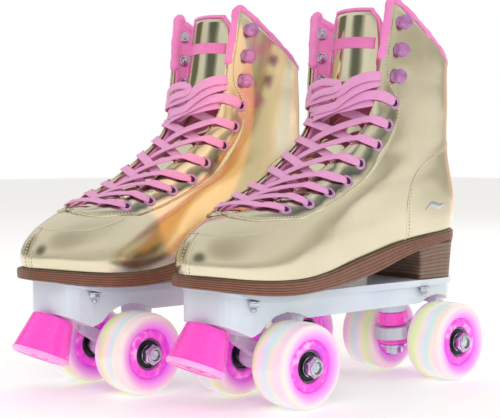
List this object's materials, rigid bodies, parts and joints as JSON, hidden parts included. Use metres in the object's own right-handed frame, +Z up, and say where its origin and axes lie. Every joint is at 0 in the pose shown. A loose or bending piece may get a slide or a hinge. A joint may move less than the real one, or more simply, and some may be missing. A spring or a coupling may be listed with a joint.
{
  "type": "quad roller skates",
  "caption": "High-top lace-up quad roller skates, a pair, with padded collars, stacked heels, sprung steering trucks, light-up wheels and toe stops.",
  "frame": {"origin": "middle of the bounding box of the pair, on the floor", "axes": "+Z up, toes point towards -Y, the left skate stands on the +X side"},
  "size_m": [0.214, 0.3238, 0.2804],
  "materials": {
    "gold_upper": "mirror-like metallic champagne gold faux leather",
    "pink_lining": "brushed plush lining fabric over foam",
    "pink_lace": "flat woven polyester lace",
    "sole_brown": "moulded outsole with stacked-layer lines",
    "heel_brown": "stacked-look heel block",
    "plate_white": "satin moulded nylon",
    "truck_white": "powder-coated casting",
    "magenta_urethane": "glossy polyurethane",
    "steel": "bright zinc plating",
    "tyre_clear": "translucent milky polyurethane, lit from inside",
    "insole_foam": "foam board covered in fabric"
  },
  "bodies": {
    "left_chassis": {"left_boot_upper": "gold_upper", "left_collar_lining": "pink_lining", "left_tongue": "gold_upper", "left_insole": "insole_foam", "left_outsole": "sole_brown", "left_heel": "heel_brown", "left_plate": "plate_white", "left_front_cushion_upper": "magenta_urethane", "left_front_cushion_lower": "magenta_urethane", "left_front_kingpin": "steel", "left_front_kingpin_nut": "steel", "left_rear_cushion_upper": "magenta_urethane", "left_rear_cushion_lower": "magenta_urethane", "left_rear_kingpin": "steel", "left_rear_kingpin_nut": "steel", "left_toe_stop": "magenta_urethane", "left_toe_stop_bolt": "steel", "left_lace": "pink_lace"},
    "left_front_truck_body": {"left_front_truck": "truck_white", "left_front_axle": "steel"},
    "left_front_outer_wheel": {"left_front_outer_tyre": "tyre_clear", "left_front_outer_hub": "magenta_urethane"},
    "left_front_inner_wheel": {"left_front_inner_tyre": "tyre_clear", "left_front_inner_hub": "magenta_urethane"},
    "left_rear_truck_body": {"left_rear_truck": "truck_white", "left_rear_axle": "steel"},
    "left_rear_outer_wheel": {"left_rear_outer_tyre": "tyre_clear", "left_rear_outer_hub": "magenta_urethane"},
    "left_rear_inner_wheel": {"left_rear_inner_tyre": "tyre_clear", "left_rear_inner_hub": "magenta_urethane"},
    "right_chassis": {"right_boot_upper": "gold_upper", "right_collar_lining": "pink_lining", "right_tongue": "gold_upper", "right_insole": "insole_foam", "right_outsole": "sole_brown", "right_heel": "heel_brown", "right_plate": "plate_white", "right_front_cushion_upper": "magenta_urethane", "right_front_cushion_lower": "magenta_urethane", "right_front_kingpin": "steel", "right_front_kingpin_nut": "steel", "right_rear_cushion_upper": "magenta_urethane", "right_rear_cushion_lower": "magenta_urethane", "right_rear_kingpin": "steel", "right_rear_kingpin_nut": "steel", "right_toe_stop": "magenta_urethane", "right_toe_stop_bolt": "steel", "right_lace": "pink_lace"},
    "right_front_truck_body": {"right_front_truck": "truck_white", "right_front_axle": "steel"},
    "right_front_outer_wheel": {"right_front_outer_tyre": "tyre_clear", "right_front_outer_hub": "magenta_urethane"},
    "right_front_inner_wheel": {"right_front_inner_tyre": "tyre_clear", "right_front_inner_hub": "magenta_urethane"},
    "right_rear_truck_body": {"right_rear_truck": "truck_white", "right_rear_axle": "steel"},
    "right_rear_outer_wheel": {"right_rear_outer_tyre": "tyre_clear", "right_rear_outer_hub": "magenta_urethane"},
    "right_rear_inner_wheel": {"right_rear_inner_tyre": "tyre_clear", "right_rear_inner_hub": "magenta_urethane"}
  },
  "joints": [
    {"name": "left_front_steer", "type": "hinge", "parent": "left_chassis", "child": "left_front_truck_body", "pos_m": [0.0555, -0.01409, 0.03414], "axis": [0, -0.9367, 0.35], "range_deg": [-5, 5], "stiffness_Nm_per_rad": 8},
    {"name": "left_front_outer_wheel_spin", "type": "hinge", "parent": "left_front_truck_body", "child": "left_front_outer_wheel", "pos_m": [0.0885, -0.03542, 0.02864], "axis": [1, 0, 0], "continuous": true},
    {"name": "left_front_inner_wheel_spin", "type": "hinge", "parent": "left_front_truck_body", "child": "left_front_inner_wheel", "pos_m": [0.0225, -0.03542, 0.02864], "axis": [1, 0, 0], "continuous": true},
    {"name": "left_rear_steer", "type": "hinge", "parent": "left_chassis", "child": "left_rear_truck_body", "pos_m": [0.0555, 0.10024, 0.03414], "axis": [0, -0.9367, -0.35], "range_deg": [-5, 5], "stiffness_Nm_per_rad": 8},
    {"name": "left_rear_outer_wheel_spin", "type": "hinge", "parent": "left_rear_truck_body", "child": "left_rear_outer_wheel", "pos_m": [0.0885, 0.12158, 0.02864], "axis": [1, 0, 0], "continuous": true},
    {"name": "left_rear_inner_wheel_spin", "type": "hinge", "parent": "left_rear_truck_body", "child": "left_rear_inner_wheel", "pos_m": [0.0225, 0.12158, 0.02864], "axis": [1, 0, 0], "continuous": true},
    {"name": "right_front_steer", "type": "hinge", "parent": "right_chassis", "child": "right_front_truck_body", "pos_m": [-0.0555, -0.06209, 0.03414], "axis": [0, -0.9367, 0.35], "range_deg": [-5, 5], "stiffness_Nm_per_rad": 8},
    {"name": "right_front_outer_wheel_spin", "type": "hinge", "parent": "right_front_truck_body", "child": "right_front_outer_wheel", "pos_m": [-0.0885, -0.08342, 0.02864], "axis": [1, 0, 0], "continuous": true},
    {"name": "right_front_inner_wheel_spin", "type": "hinge", "parent": "right_front_truck_body", "child": "right_front_inner_wheel", "pos_m": [-0.0225, -0.08342, 0.02864], "axis": [1, 0, 0], "continuous": true},
    {"name": "right_rear_steer", "type": "hinge", "parent": "right_chassis", "child": "right_rear_truck_body", "pos_m": [-0.0555, 0.05224, 0.03414], "axis": [0, -0.9367, -0.35], "range_deg": [-5, 5], "stiffness_Nm_per_rad": 8},
    {"name": "right_rear_outer_wheel_spin", "type": "hinge", "parent": "right_rear_truck_body", "child": "right_rear_outer_wheel", "pos_m": [-0.0885, 0.07358, 0.02864], "axis": [1, 0, 0], "continuous": true},
    {"name": "right_rear_inner_wheel_spin", "type": "hinge", "parent": "right_rear_truck_body", "child": "right_rear_inner_wheel", "pos_m": [-0.0225, 0.07358, 0.02864], "axis": [1, 0, 0], "continuous": true},
    {"name": "right_skate_lift", "type": "slide", "parent": "left_chassis", "child": "right_chassis", "axis": [0, 0, 1], "range_m": [0, 0.35]}
  ]
}
